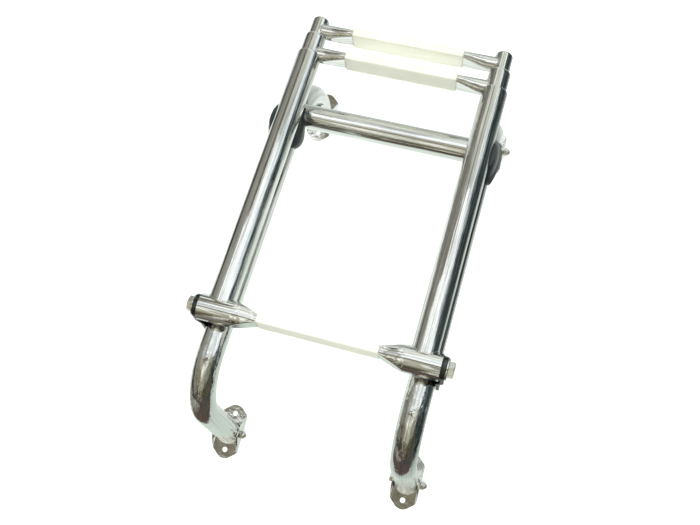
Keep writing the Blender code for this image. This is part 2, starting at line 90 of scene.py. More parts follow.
# ------------------------------------------------------------ mesh helpers
def new_object(name, bm, matrix, sharp=40.0):
    """Finish a bmesh as a smooth-shaded object at the shared origin."""
    bm.transform(matrix)
    bmesh.ops.recalc_face_normals(bm, faces=bm.faces)
    mesh = bpy.data.meshes.new(name)
    bm.to_mesh(mesh)
    bm.free()
    for poly in mesh.polygons:
        poly.use_smooth = True
    mesh.set_sharp_from_angle(angle=radians(sharp))
    obj = bpy.data.objects.new(name, mesh)
    bpy.context.scene.collection.objects.link(obj)
    return obj


def skin(rings, bores=None):
    """Quads through rings of points, with UVs in metres along and around."""
    bm = bmesh.new()
    uv = bm.loops.layers.uv.new("UVMap")
    add_skin(bm, uv, rings)
    if bores:
        for strip in (bores, [rings[0], bores[0]], [rings[-1], bores[-1]]):
            add_skin(bm, uv, strip)
    else:
        cap(bm, uv, rings[0])
        cap(bm, uv, rings[-1])
    bmesh.ops.remove_doubles(bm, verts=bm.verts, dist=1e-7)
    return bm


def add_skin(bm, uv, rings, closed=False):
    """Faces between neighbouring rings, with their UVs."""
    count = len(rings[0])
    rows = [[bm.verts.new(p) for p in ring] for ring in rings]
    along = [0.0]
    for a, b in zip(rings, rings[1:]):
        along.append(along[-1] + (sum(b, Vector()) - sum(a, Vector())).length / count)
    along.append(along[-1] + (along[1] - along[0]))
    around = [0.0]
    middle = rings[len(rings) // 2]
    for i in range(count):
        around.append(around[-1] + (middle[(i + 1) % count] - middle[i]).length)
    for k in range(len(rows) if closed else len(rows) - 1):
        a, b = rows[k], rows[(k + 1) % len(rows)]
        for i in range(count):
            j = (i + 1) % count
            face = bm.faces.new((a[i], a[j], b[j], b[i]))
            spots = ((k, i), (k, i + 1), (k + 1, i + 1), (k + 1, i))
            for loop, (row, col) in zip(face.loops, spots):
                loop[uv].uv = (along[row], around[col])


def cap(bm, uv, ring):
    """Flat face over a ring."""
    face = bm.faces.new([bm.verts.new(p) for p in ring])
    for loop in face.loops:
        loop[uv].uv = (loop.vert.co.x, loop.vert.co.z)


def angles(count, start=0.0):
    return [start + 2.0 * pi * i / count for i in range(count)]


def shares(parts):
    """0 to 1 in equal steps, both ends included."""
    return [k / parts for k in range(parts + 1)]


def circle(centre, across, up, radius, count, start=0.0):
    points = []
    for a in angles(count, start):
        points.append(centre + across * (radius * cos(a)) + up * (radius * sin(a)))
    return points


def rail_rings(at, rows, count):
    """Circles round a line along the rails; rows are (along, radius) pairs."""
    return [circle(at + Y_AXIS * y, X_AXIS, Z_AXIS, r, count, -pi / 2) for y, r in rows]


def turned(profile, start, axis, count=48, bore=None):
    """Solid of revolution; profile and bore are (along, radius) pairs."""
    across = axis.orthogonal().normalized()
    up = axis.cross(across)

    def rings(rows):
        return [circle(start + axis * s, across, up, r, count) for s, r in rows]

    return skin(rings(profile), rings(bore) if bore else None)


def cylinder(start, axis, length, radius, count):
    return turned([(0.0, radius), (length, radius)], start, axis, count)


def lip(run, radius, inset, reach, steps=6):
    """Profile points that round a tube's edge from radius to radius - inset."""
    points = []
    for t in shares(steps):
        a = radians(90.0 * t)
        points.append((run - reach * (1.0 - sin(a)), radius - inset * (1.0 - cos(a))))
    return points


def saddle(main_at, main_dir, main_r, branch_at, branch_dir, branch_r, count=120):
    """Where a branch tube meets a main tube, going out from the main's axis."""
    across = branch_dir.orthogonal().normalized()
    u = branch_dir - main_dir * branch_dir.dot(main_dir)
    points = []
    for p in circle(branch_at, across, branch_dir.cross(across), branch_r, count):
        q = p - main_at
        q -= main_dir * q.dot(main_dir)
        uu, qu, qq = u.dot(u), q.dot(u), q.dot(q)
        root = max(0.0, qu * qu - uu * (qq - main_r * main_r))
        points.append(p + branch_dir * ((-qu + sqrt(root)) / uu))
    return points


def bead(name, path, size, body, ripples=46, closed=True):
    """Weld bead: a rippled roll laid along a path of points."""
    rings = []
    n = len(path)
    across = None
    for i, p in enumerate(path):
        after = path[(i + 1) % n] if closed else path[min(i + 1, n - 1)]
        before = path[i - 1] if closed else path[max(i - 1, 0)]
        along = (after - before).normalized()
        across = along.orthogonal().normalized() if across is None else across_from(along, across)
        up = along.cross(across).normalized()
        wave = 1.0 + 0.10 * sin(ripples * 2.0 * pi * i / n)
        wave += 0.06 * sin(7.3 * i / n * 2.0 * pi + 1.0)
        rings.append(circle(p, across, up, size * wave, 10))
    if closed:
        rings.append(lined_up(rings[0], rings[-1]))
    attach(new_object(name, skin(rings), LADDER, 80.0), "weld", body)


def across_from(along, last):
    """Carry a frame along a path with as little twist as possible."""
    return (last - along * last.dot(along)).normalized()


def lined_up(ring, other):
    """The same ring, started at its point nearest to another ring's start."""
    best = min(range(len(ring)), key=lambda k: (ring[k] - other[0]).length)
    return [ring[(best + i) % len(ring)] for i in range(len(ring))]


# ---------------------------------------------------------------- materials
materials = {}
EVEN = (1.0, 1.0, 1.0)


def feed(tree, made, inputs):
    """Set or link a node's inputs, given by name or number."""
    for key, value in inputs.items():
        if isinstance(value, bpy.types.NodeSocket):
            tree.links.new(value, made.inputs[key])
        else:
            made.inputs[key].default_value = value


def node(tree, kind, inputs=None, **settings):
    """New node with its inputs fed and its own settings made."""
    made = tree.nodes.new(kind)
    for key, value in settings.items():
        setattr(made, key, value)
    feed(tree, made, inputs or {})
    return made


def object_coords(tree):
    return node(tree, "ShaderNodeTexCoord").outputs["Object"]


def axes_of(tree, coords):
    """Sockets X, Y and Z of a coordinate socket."""
    return node(tree, "ShaderNodeSeparateXYZ", {0: coords}).outputs


def calc(tree, operation, *values):
    return node(tree, "ShaderNodeMath", dict(enumerate(values)), operation=operation).outputs[0]


def ramp(tree, source, stops):
    """Colour ramp fed by a socket; stops are (position, colour or grey)."""
    made = node(tree, "ShaderNodeValToRGB", {"Fac": source})
    points = made.color_ramp.elements
    while len(points) < len(stops):
        points.new(0.5)
    for point, (at, value) in zip(points, stops):
        point.position = at
        point.color = (*value, 1.0) if isinstance(value, tuple) else (value, value, value, 1.0)
    return made.outputs["Color"]


def noise(tree, coords, scale, stretch=EVEN, detail=3.0, rough=0.5):
    mapped = node(tree, "ShaderNodeMapping", {"Vector": coords, "Scale": stretch}).outputs[0]
    inputs = {"Vector": mapped, "Scale": scale, "Detail": detail, "Roughness": rough}
    return node(tree, "ShaderNodeTexNoise", inputs).outputs["Fac"]


def bump(tree, height, strength, distance, under=None):
    inputs = {"Height": height, "Strength": strength, "Distance": distance}
    if under is not None:
        inputs["Normal"] = under
    return node(tree, "ShaderNodeBump", inputs).outputs["Normal"]


def blend(tree, kind, factor, a, b):
    settings = {"data_type": "RGBA", "blend_type": kind, "clamp_factor": True}
    return node(tree, "ShaderNodeMix", {0: factor, 6: a, 7: b}, **settings).outputs[2]


def multiply(tree, a, b):
    return blend(tree, "MULTIPLY", 1.0, a, b)


def span(tree, value, low, high):
    """0 at low, 1 at high, smooth between."""
    inputs = {"Value": value, "From Min": low, "From Max": high}
    return node(tree, "ShaderNodeMapRange", inputs, interpolation_type="SMOOTHSTEP").outputs[0]


def start_material(name):
    mat = bpy.data.materials.new(name)
    mat.use_nodes = True
    materials[name] = mat
    return mat.node_tree, mat.node_tree.nodes["Principled BSDF"]


# Scale and stretch of a metal's lines, waves and streaks, along UVs or in space.
DRAWN_PATTERN = ((60.0, (0.06, 14.0, 1.0)), (14.0, (0.5, 3.4, 1.0)), (30.0, (0.10, 8.0, 1.0)))
SOLID_PATTERN = ((500.0, EVEN), (60.0, EVEN), (190.0, EVEN))
RIPPLE_Y = (-0.125, -0.165)


def bend_ripples(tree, coords, force, under):
    """Shallow dents that fade in over the lower bend."""
    bent = span(tree, axes_of(tree, coords)["Y"], *RIPPLE_Y)
    dents = noise(tree, coords, 80.0, (1.9, 0.8, 1.2), 3.0, 0.55)
    return bump(tree, dents, calc(tree, "MULTIPLY", bent, force), 0.0011, under)


def metal(name, use_uv, tints, rough, grain=1.0, wave=1.0, ripple=0.0, drawn=0.86):
    """Stainless steel: drawn streaks, smudges, fine scratches, bend ripples."""
    tree, shader = start_material(name)
    coords = node(tree, "ShaderNodeTexCoord").outputs
    where = coords["UV" if use_uv else "Object"]
    fine, broad, middle = DRAWN_PATTERN if use_uv else SOLID_PATTERN
    lines = noise(tree, where, *fine, 4.0, 0.6)
    waves = noise(tree, where, *broad, 2.0, 0.5)
    streaks = noise(tree, where, *middle, 3.0, 0.6)
    smudge = noise(tree, coords["Object"], 26.0, EVEN, 5.0, 0.6)
    colour = ramp(tree, smudge, ((0.30, tints[0]), (0.70, tints[1])))
    worn = ramp(tree, streaks, ((0.36, drawn), (0.48, 1.0)))
    scratched = ramp(tree, lines, ((0.36, 0.5 + 0.5 * drawn), (0.46, 1.0)))
    colour = multiply(tree, colour, multiply(tree, worn, scratched))
    rough_map = ramp(tree, smudge, ((0.35, rough[0]), (0.68, rough[1])))
    normal = bump(tree, waves, 0.25 * wave, 0.0020)
    normal = bump(tree, streaks, 0.30 * wave, 0.0005, normal)
    if ripple:
        normal = bend_ripples(tree, coords["Object"], ripple, normal)
    normal = bump(tree, lines, 0.30 * grain, 0.00020, normal)
    feed(tree, shader, {"Base Color": colour, "Metallic": 1.0, "Roughness": rough_map, "Normal": normal})


def plastic(name, colours, rough, bumps, coat=0.0):
    """Moulded plastic: fine spark grain, faint mottling, worn sheen."""
    tree, shader = start_material(name)
    coords = object_coords(tree)
    mottle = noise(tree, coords, 35.0, detail=4.0)
    grain = noise(tree, coords, 2600.0, detail=2.0)
    for socket, pair in (("Base Color", colours), ("Roughness", rough)):
        feed(tree, shader, {socket: ramp(tree, mottle, ((0.3, pair[0]), (0.7, pair[1])))})
    broad = bump(tree, mottle, 0.2, 0.0006)
    normal = bump(tree, grain, bumps, 0.00006, broad)
    feed(tree, shader, {"Coat Weight": coat, "Coat Roughness": 0.25, "Normal": normal})


# Slots of the looks that have no slot of their own name.
POLISHED_LOOKS = ("polished_rail", "polished_bend", "polished_plain", "weld")
SLOTS = {"coated": "black", **dict.fromkeys(POLISHED_LOOKS, "polished")}


def paint(obj, look):
    obj.data.materials.clear()
    obj.data.materials.append(materials[look])
    SLOTS.get(look, look)


def make_materials():
    steel = ((0.76, 0.77, 0.745), (0.83, 0.83, 0.80))
    mirror = (0.014, 0.050)
    metal("polished", True, steel, mirror, drawn=0.72)
    metal("polished_rail", True, steel, mirror, 1.2, 2.6, drawn=0.50)
    metal("polished_bend", True, steel, mirror, ripple=0.75, drawn=0.70)
    metal("polished_plain", False, steel, (0.05, 0.12), 0.6, 0.6)
    metal("weld", False, ((0.72, 0.69, 0.62), (0.80, 0.80, 0.77)), (0.08, 0.22), 1.2, 1.2)
    metal("fastener", False, ((0.76, 0.76, 0.70), (0.82, 0.82, 0.78)), (0.10, 0.24), 0.8, 0.5)
    metal("coated", False, ((0.05, 0.055, 0.052), (0.10, 0.11, 0.10)), (0.10, 0.22), 0.8, 0.8)
    plastic("tread", ((0.83, 0.84, 0.73), (0.88, 0.885, 0.79)), (0.34, 0.50), 0.25)
    plastic("nylon", ((0.40, 0.40, 0.37), (0.50, 0.50, 0.47)), (0.30, 0.45), 0.15)
    plastic("black", ((0.012, 0.016, 0.018), (0.022, 0.028, 0.031)), (0.26, 0.42), 0.45, 0.3)


# ------------------------------------------------------------------- pieces
def attach(obj, look, body):
    """Give a piece its look and the body that it moves with."""
    paint(obj, look)
    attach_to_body(obj, body)


def place(obj, look, body, *stands_for):
    """Attach a piece that takes the place of CAD nodes."""
    attach(obj, look, body)
    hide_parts(*stands_for)


def base_path(parts=36):
    """Centre line of a base tube: leg, bend, straight, bend, leg."""
    square = pi / 2
    path = [(LOWER_Y, -LOWER_DROP - LEG_PAST, square)]
    bends = ((LOWER_Y + LOWER_BEND, LOWER_BEND, square), (UPPER_Y - UPPER_BEND, UPPER_BEND, 0.0))
    for middle, bend, start in bends:
        for t in shares(parts):
            a = start - square * t
            path.append((middle - bend * sin(a), -BASE_DROP - bend * (1.0 - cos(a)), a))
    path.append((UPPER_Y, -UPPER_DROP - LEG_PAST, -square))
    return path


def base_drop(y):
    """How far the base tubes' centre line lies below the rails' plane at y."""
    past = y - (UPPER_Y - UPPER_BEND)
    if past <= 0.0:
        return BASE_DROP
    return BASE_DROP + UPPER_BEND - sqrt(UPPER_BEND**2 - past**2)


def base_rings(side, radius, count=72):
    rings = []
    for y, z, a in base_path():
        centre = Vector((side * BASE_X, y, z))
        up = Vector((0.0, -sin(a), cos(a)))
        rings.append(circle(centre, X_AXIS, up, radius, count, -pi / 2))
    return rings


def make_base_tube(label, side):
    bm = skin(base_rings(side, BASE_R), base_rings(side, BASE_BORE))
    obj = new_object("base_tube_polished_" + label, bm, LADDER)
    place(obj, "polished_bend", "base", "base_tube_" + label)


def make_cross_bar():
    """Tube between the base tubes, welded to them at both ends."""
    reach = BASE_X - 0.006
    at = Vector((-reach, BAR_Y, -base_drop(BAR_Y)))
    rings, holes = [], []
    for t in shares(40):
        centre = at + X_AXIS * (2.0 * reach * t)
        for ringed, radius in ((rings, BAR_R), (holes, BAR_BORE)):
            ringed.append(circle(centre, Y_AXIS, Z_AXIS, radius, 72, -pi / 2))
    obj = new_object("cross_bar_polished", skin(rings, holes), LADDER)
    place(obj, "polished", "base", "cross_bar")
    y = BAR_Y - (UPPER_Y - UPPER_BEND)
    slope = atan2(y, sqrt(UPPER_BEND**2 - y**2))
    tangent = Vector((0.0, cos(slope), -sin(slope)))
    for label, side in SIDES:
        main = Vector((side * BASE_X, BAR_Y, -base_drop(BAR_Y)))
        path = saddle(main, tangent, BASE_R, main, -X_AXIS * side, BAR_R)
        bead("bar_weld_" + label, path, 0.0013, "base")


def clipped_section(x, tall, wide, half, count=128, soft=0.0010):
    """Round section squeezed between two flats at y = +half and -half."""
    points = []
    for a in angles(count, -pi / 2):
        y = tall * cos(a)
        z = wide * sin(a)
        over = abs(y) - half
        if over > soft:
            y = copysign(half, y)
        elif over > -soft:
            y = copysign(half - (soft - over) ** 2 / (4.0 * soft), y)
        points.append(Vector((x, y, z)))
    return points


def arm_rows(end_x, end_r, taper_x, tip_wide):
    """Stations of one formed step tube from its end to the tread."""
    tip_x = TREAD_HALF + 0.0003
    tip_tall = 0.82 * end_r
    round_half, flat_half = end_r + 0.0006, 0.5 * TREAD_THICK - 0.0006
    rows = [(end_x, end_r, end_r, end_r + 0.002)]
    for t in shares(30):
        ease = t * t * (3.0 - 2.0 * t)
        x = taper_x + (tip_x - taper_x) * t
        wide = end_r + (0.5 * tip_wide - end_r) * ease
        tall = end_r + (tip_tall - end_r) * ease
        rows.append((x, tall, wide, round_half + (flat_half - round_half) * t ** 0.92))
    return rows


def make_step_tube(stage, body, y, shape, coped):
    """Formed step tube: round ends pressed to a flat core inside the tread."""
    core_r, core_half = 0.0121, 0.0035
    rings = [clipped_section(*row) for row in arm_rows(*shape)]
    rings.append(clipped_section(TREAD_HALF + 0.0002, core_r, core_r, core_half))
    rings += [[Vector((-p.x, p.y, p.z)) for p in ring] for ring in reversed(rings)]
    if coped:
        for p in rings[0] + rings[-1]:
            p.x = copysign(RAIL_X - sqrt(max(0.0, coped**2 - p.z**2)), p.x)
    at = LADDER @ Matrix.Translation((0.0, y, 0.0))
    obj = new_object(stage + "_step_formed", skin(rings), at, 32.0)
    place(obj, "polished", body, stage + "_step_tube")


def tread_section(x, trim):
    """Tread section: rounded slab with fine grip ribs on both broad faces."""
    half_y = 0.5 * (TREAD_THICK - trim)
    half_z = 0.5 * (TREAD_WIDE - trim)
    corner = 0.0016
    flat = half_z - corner
    ribs, rib_depth = 7, 0.00022
    groove_in, groove_half, groove_depth = 0.0013, 0.0007, 0.0009
    points = []
    for sign in (1, -1):
        for t in shares(8 * ribs):
            z = sign * flat * (1.0 - 2.0 * t)
            dip = rib_depth * (0.5 - 0.5 * cos(2.0 * pi * ribs * t))
            if abs(abs(z) - (flat - groove_in)) < groove_half:
                dip = groove_depth
            points.append(Vector((x, sign * (half_y - dip), z)))
        rounded = []
        for t in shares(6)[1:-1]:
            a = radians(90.0 * t)
            rounded.append((half_y - corner + corner * cos(a), flat + corner * sin(a)))
        edge = [*rounded, (half_y - corner, half_z), (0.0, half_z), (corner - half_y, half_z)]
        edge += [(-y, z) for y, z in reversed(rounded)]
        points += [Vector((x, sign * y, -sign * z)) for y, z in edge]
    return points


def make_tread(stage, body, y):
    """Ribbed tread with softly trimmed ends, moulded round the step tube."""
    half = TREAD_HALF
    ends = [(half, 0.0016), (half - 0.0003, 0.0008), (half - 0.0009, 0.0)]
    rows = ends + [(half * (1.0 - 2.0 * t), 0.0) for t in shares(12)[1:-1]]
    rows += [(-x, trim) for x, trim in reversed(ends)]
    rings = [tread_section(x, trim) for x, trim in rows]
    at = LADDER @ Matrix.Translation((0.0, y, 0.0))
    obj = new_object(stage + "_tread_moulded", skin(rings), at, 50.0)
    place(obj, "tread", body, stage + "_tread")


def make_outer_tube(label, side):
    """Outer rail: coped on the hub, rolled lip, notch where step A nests."""
    at = Vector((side * RAIL_X, 0.0, 0.0))
    lip_run = 0.006
    run = OUTER_END - HUB_R - lip_run
    rows = [(HUB_R + run * t, OUTER_R) for t in shares(35)]
    rows += lip(OUTER_END, OUTER_R, 0.0011, 0.0024)
    outer = rail_rings(at, rows, 128)
    inner = rail_rings(at, [(y, OUTER_BORE) for y, r in rows], 128)
    for p in outer[0] + inner[0]:
        p.y = rail_foot(p.z) - 0.0002
    notch_r = ARM_R + 0.0006
    for ring in outer + inner:
        for p in ring:
            inward = (p.x - at.x) * -side
            if inward > 0.0 and abs(p.z) < notch_r:
                p.y = min(p.y, STEP_A_Y - sqrt(notch_r**2 - p.z**2))
    obj = new_object("outer_rail_polished_" + label, skin(outer, inner), LADDER, 50.0)
    place(obj, "polished_rail", "outer", "outer_tube_" + label)
    hub_fillet(label, at)


def rail_foot(z):
    """Where the outer rail stops on the hub, for a point z out from its axis."""
    held = max(-FOOT_LIMIT, min(FOOT_LIMIT, z))
    return sqrt(HUB_R**2 - held**2)


def hub_fillet(label, at):
    """Dressed weld that closes the joint between hub and outer rail."""
    count, steps = 160, 9
    up_rail, down_hub, flare, bulge = 0.0015, 0.0014, 0.0010, 0.0004
    rings = [[] for _ in range(steps)]
    for a in angles(count):
        out = X_AXIS * cos(a) + Z_AXIS * sin(a)
        crest = sin(a) ** 2
        lump = 0.00008 * sin(17.0 * a) + 0.00006 * sin(29.0 * a + 1.0)
        stop = rail_foot(OUTER_R * sin(a))
        top = at + out * (OUTER_R + 0.00005) + Y_AXIS * (stop + up_rail + lump)
        low_x = cos(a) * (OUTER_R + flare * abs(cos(a)))
        low_y = stop - down_hub * crest
        low_z = copysign(sqrt(max(0.0, HUB_R**2 - low_y**2)), sin(a))
        low = at + Vector((low_x, low_y, low_z))
        swell = (out + Y_AXIS * (0.9 - 0.5 * crest)).normalized()
        for ring, t in zip(rings, shares(steps - 1)):
            rise = (bulge + lump) * sin(pi * t) - 0.0001
            ring.append(low.lerp(top, t) + swell * rise)
    sunk = 0.05
    for ring in (rings[-1], rings[0]):
        rings.append([p - (p - at - Y_AXIS * (p - at).y) * sunk for p in ring])
    bm = bmesh.new()
    add_skin(bm, bm.loops.layers.uv.new("UVMap"), rings, True)
    attach(new_object("hub_weld_" + label, bm, LADDER, 80.0), "weld", "outer")


def make_sliding_tube(stage, label, side, radius, bore, start, end):
    """Middle or inner rail with a rolled lip at its free end."""
    at = Vector((side * RAIL_X, 0.0, 0.0))
    lip_run = 0.004
    rows = [(start + (end - lip_run - start) * t, radius) for t in shares(30)]
    rows += lip(end, radius, 0.0009, 0.0016)
    outer = rail_rings(at, rows, 96)
    inner = rail_rings(at, [(y, bore) for y, r in rows], 96)
    obj = new_object(stage + "_rail_polished_" + label, skin(outer, inner), LADDER, 50.0)
    place(obj, "polished", stage, stage + "_tube_" + label)


def arm_welds(stage, y, tube_r):
    """Beads where a step's round ends meet its rails."""
    for label, side in SIDES:
        main = Vector((side * RAIL_X, y, 0.0))
        path = saddle(main, Y_AXIS, tube_r, main, -X_AXIS * side, ARM_R + 0.0001)
        bead(stage + "_arm_weld_" + label, path, 0.0010, stage, 36)


def make_cap(label, side):
    """Domed plug in the inner tube's end."""
    at = Vector((side * RAIL_X, INNER_END - 0.010, 0.0))
    plug_r, rim_r, seat, dome, crown_r = 0.0092, 0.0104, 0.0102, 0.0016, 0.0100
    profile = [(0.0, plug_r), (seat, plug_r), (seat, rim_r)]
    for t in shares(8)[1:]:
        a = radians(90.0 * t)
        profile.append((seat + dome * sin(a), rim_r - crown_r * (1.0 - cos(a))))
    obj = new_object("inner_end_plug_" + label, turned(profile, at, Y_AXIS, 48), LADDER)
    place(obj, "black", "inner", "inner_cap_" + label)


HEX_SLOPE = 0.577  # rise of a 30 degree chamfer
HEX_COUNT = 96


def hex_radius(angle, flat):
    """Distance from a hexagon's middle to its edge; flat is its width."""
    local = (angle + pi / 6) % (pi / 3) - pi / 6
    return 0.5 * flat / cos(local)


def hex_ring(x, flat, trim=0.0):
    """Hexagon outline at x; trim bends its corners along X as a chamfer does."""
    points = []
    for a in angles(HEX_COUNT):
        r = hex_radius(a, flat)
        cut = max(0.0, r - hex_rim(flat)) * HEX_SLOPE
        points.append(Vector((x - trim * cut, r * cos(a), r * sin(a))))
    return points


def hex_rim(flat):
    """Radius at which the chamfer of a hexagon starts."""
    return 0.5 * flat * 0.97


def disc_ring(x, radius):
    return circle(Vector((x, 0.0, 0.0)), Y_AXIS, Z_AXIS, radius, HEX_COUNT)


def hex_head(name, flat, height, matrix):
    """Bolt head along +X, chamfered on its outer face."""
    rim = hex_rim(flat)
    rings = [disc_ring(0.0, rim), hex_ring(0.0, flat), hex_ring(height, flat, 1.0), disc_ring(height, rim)]
    rings += [disc_ring(height, 0.5 * rim), disc_ring(height - 0.0002, 0.4 * rim)]
    return new_object(name, skin(rings), matrix, 28.0)


def hex_nut(name, flat, height, bore, matrix):
    """Nut along +X, chamfered on both faces."""
    rim = hex_rim(flat)
    rings = [disc_ring(0.0, bore), disc_ring(0.0, rim), hex_ring(0.0, flat, -1.0)]
    rings += [hex_ring(height, flat, 1.0), disc_ring(height, rim)]
    rings += [disc_ring(height, bore + 0.0006), disc_ring(height - 0.0006, bore)]
    rings.append(disc_ring(0.5 * height, bore))
    return new_object(name, skin(rings), matrix, 28.0)


def threaded_rod(name, start, length, radius, matrix):
    """Rod with rolled thread rings near its end and a chamfered tip, along +X."""
    pitch, threads, depth = 0.001, 10, 0.00045
    first = length - threads * pitch - 0.0006
    rows = [(0.0, radius), (first, radius)]
    for k in range(threads):
        x = first + k * pitch
        rows += [(x + 0.25 * pitch, radius - depth), (x + 0.75 * pitch, radius)]
    rows += [(length - 0.0005, radius - 0.0003), (length, radius - 0.0009)]
    return new_object(name, turned(rows, start, X_AXIS, 40), matrix, 30.0)


def make_pivot_bolt(label, side):
    """Bolt that a hub turns on, through the outside of its lug."""
    flat, head_tall, shank, rod_r, washer = 0.017, 0.0065, 0.033, 0.0049, 0.0026
    facing = Matrix.Rotation(pi if side < 0 else 0.0, 4, "Z")
    at = LADDER @ Matrix.Translation((side * (LUG_FACE + washer), 0.0, 0.0)) @ facing
    head = hex_head("pivot_bolt_head_" + label, flat, head_tall, at)
    place(head, "fastener", "outer", "pivot_bolt_" + label)
    start = Vector((-shank, 0.0, 0.0))
    rod = threaded_rod("pivot_bolt_shank_" + label, start, shank + 0.0002, rod_r, at)
    attach(rod, "fastener", "outer")


def make_bracket_bolt(label):
    """Bolt through a bracket with its lock nut and the nut's nylon collar."""
    flat, head_tall, nut_tall, rod_r, bore_r = 0.010, 0.0040, 0.0046, 0.0030, 0.0031
    low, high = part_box("bracket_bolt_" + label)
    nut_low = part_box("bracket_nut_" + label)[0]
    y, z = (low.y + high.y) / 2, (low.z + high.z) / 2
    outward = Matrix.Translation((low.x + head_tall, y, z)) @ Matrix.Rotation(pi, 4, "Z")
    head = hex_head("bracket_bolt_head_" + label, flat, head_tall, outward)
    place(head, "fastener", "base", "bracket_bolt_" + label)
    start = Vector((low.x + head_tall - 0.0002, y, z))
    still = Matrix.Identity(4)
    rod = threaded_rod("bracket_bolt_shank_" + label, start, high.x - start.x, rod_r, still)
    attach(rod, "fastener", "base")
    nut_at = Matrix.Translation((nut_low.x, y, z))
    nut = hex_nut("bracket_lock_nut_" + label, flat, nut_tall, bore_r, nut_at)
    place(nut, "fastener", "base", "bracket_nut_" + label)
    collar = [(0.0, 0.0045), (0.0012, 0.0045), (0.0018, 0.0041), (0.0020, 0.0034)]
    seat = Vector((nut_low.x + nut_tall - 0.0001, y, z))
    turned_collar = turned(collar, seat, X_AXIS, 40, [(x, bore_r) for x, r in collar])
    ring = new_object("bracket_nut_collar_" + label, turned_collar, still)
    attach(ring, "fastener", "base")


# Stow clip: height, half length, outward swell
CLIP_LEVELS = (
    (-0.0425, 0.020, 0.0010), (-0.0390, 0.026, 0.0035), (-0.0340, 0.030, 0.0058), (-0.0260, 0.032, 0.0078),
    (-0.0185, 0.031, 0.0086), (-0.0150, 0.030, 0.0088), (-0.0138, 0.0295, 0.0088), (-0.0080, 0.0255, 0.0082),
    (-0.0020, 0.0205, 0.0068), (0.0018, 0.0165, 0.0046))
CLIP_MIDDLE = {"left": 0.2710, "right": 0.2800}
CLIP_LEAN, CLIP_SEAT_TOP = 0.0050, -0.0145
# Shares of the swell and of the half length that the two walls take.
CLIP_SWELL, CLIP_OUTER, CLIP_INNER = 0.86, 0.94, 0.93


def bell(t, middle, width):
    return exp(-(((t - middle) / width) ** 2))


def clip_rings(label, side):
    """Plan outlines of a stow clip, one per height."""
    rings = []
    foot, top = CLIP_LEVELS[0][0], CLIP_LEVELS[-1][0]
    for z, half, swell in CLIP_LEVELS:
        middle = CLIP_MIDDLE[label] - CLIP_LEAN * (z - foot) / (top - foot)
        if z < CLIP_SEAT_TOP:
            past = z + BASE_DROP
            reach = sqrt(max(0.0, (BASE_R + 0.0045) ** 2 - past**2))
            near, far = BASE_X - reach, BASE_X + min(reach, BASE_R + 0.0010)
        else:
            near, far = RAIL_X + 0.002, RAIL_X + OUTER_R + 0.0012
        ring = []
        for t in shares(24):
            a = pi * (t - 0.5)
            x = far if t in (0.0, 1.0) else far + CLIP_SWELL * swell * cos(a) ** 1.3
            ring.append(Vector((side * x, middle + CLIP_OUTER * half * sin(a), z)))
        for t in shares(14):
            waist, belly = 0.0024 * bell(t, 0.30, 0.14), 0.0016 * bell(t, 0.72, 0.16)
            tail = 0.0050 * max(0.0, (t - 0.86) / 0.14) ** 2
            y = middle + CLIP_INNER * half * (1.0 - 2.0 * t)
            ring.append(Vector((side * (near + waist - belly + tail), y, z)))
        rings.append(ring)
    return rings


def carve(obj, tool_mesh, matrix, operation="DIFFERENCE"):
    """Apply a boolean of a tool on obj for good, then drop the tool."""
    tool = new_object("tool", tool_mesh, matrix)
    mod = obj.modifiers.new("cut", "BOOLEAN")
    mod.operation = operation
    mod.solver = "EXACT"
    mod.object = tool
    bpy.context.view_layer.update()
    graph = bpy.context.evaluated_depsgraph_get()
    baked = bpy.data.meshes.new_from_object(obj.evaluated_get(graph))
    obj.modifiers.clear()
    obj.data = baked
    bpy.data.objects.remove(tool, do_unlink=True)


def make_clip(label, side):
    """Snap clip: saddle on the base tube, sprung outer wall along the rail."""
    obj = new_object("stow_clip_moulded_" + label, skin(clip_rings(label, side)), LADDER, 30.0)
    play = 0.0003
    seat_at = Vector((side * RAIL_X, 0.215, 0.0))
    carve(obj, cylinder(seat_at, Y_AXIS, 0.12, OUTER_R + play, 96), LADDER)
    carve(obj, skin(base_rings(side, BASE_R + play)), LADDER)
    relief_at = Vector((side * (BASE_X + 0.002), BAR_Y, -base_drop(BAR_Y)))
    carve(obj, cylinder(relief_at, -X_AXIS * side, 0.04, BAR_R + 2.0 * play, 72), LADDER)
    place(obj, "black", "base", "stow_clip_" + label)
    bevel(obj, 0.0009, 2, 38.0)


def round_corners(corners, radius, steps=5):
    """Flat outline with each corner replaced by a small curve."""
    points = []
    n = len(corners)
    for i, p in enumerate(corners):
        before, after = corners[i - 1] - p, corners[(i + 1) % n] - p
        run = min(radius, 0.45 * before.length, 0.45 * after.length)
        start, end = p + before.normalized() * run, p + after.normalized() * run
        for t in shares(steps):
            points.append(start.lerp(p, t).lerp(p.lerp(end, t), t))
    return points


def slab(outline, axis, depth):
    return skin([outline, [p + axis * depth for p in outline]])


BRACKET_HALF, BRACKET_SHEET, BRACKET_TOP = 0.0183, 0.0020, 0.0255
BRACKET_LENGTH = 0.073998
BRACKET_FLANK, BRACKET_TIP, BRACKET_TIP_HALF = 0.0255, 0.0370, 0.0050
BRACKET_BOLT_Z, BRACKET_EAR_R, BRACKET_BOLT_R = 0.0160, 0.0095, 0.0033
BRACKET_HOLE_Y, BRACKET_HOLE_R, BRACKET_HOLE_SINK = 0.0253, 0.0035, 0.0014
FOLD_OUTER, FOLD_INNER = 0.0030, 0.0012


def fold_arc(x, z, radius, start, sweep):
    """Quarter round of a folded sheet, in the XZ plane."""
    points = []
    for t in shares(6):
        a = radians(start + sweep * t)
        points.append(Vector((x + radius * cos(a), 0, z + radius * sin(a))))
    return points


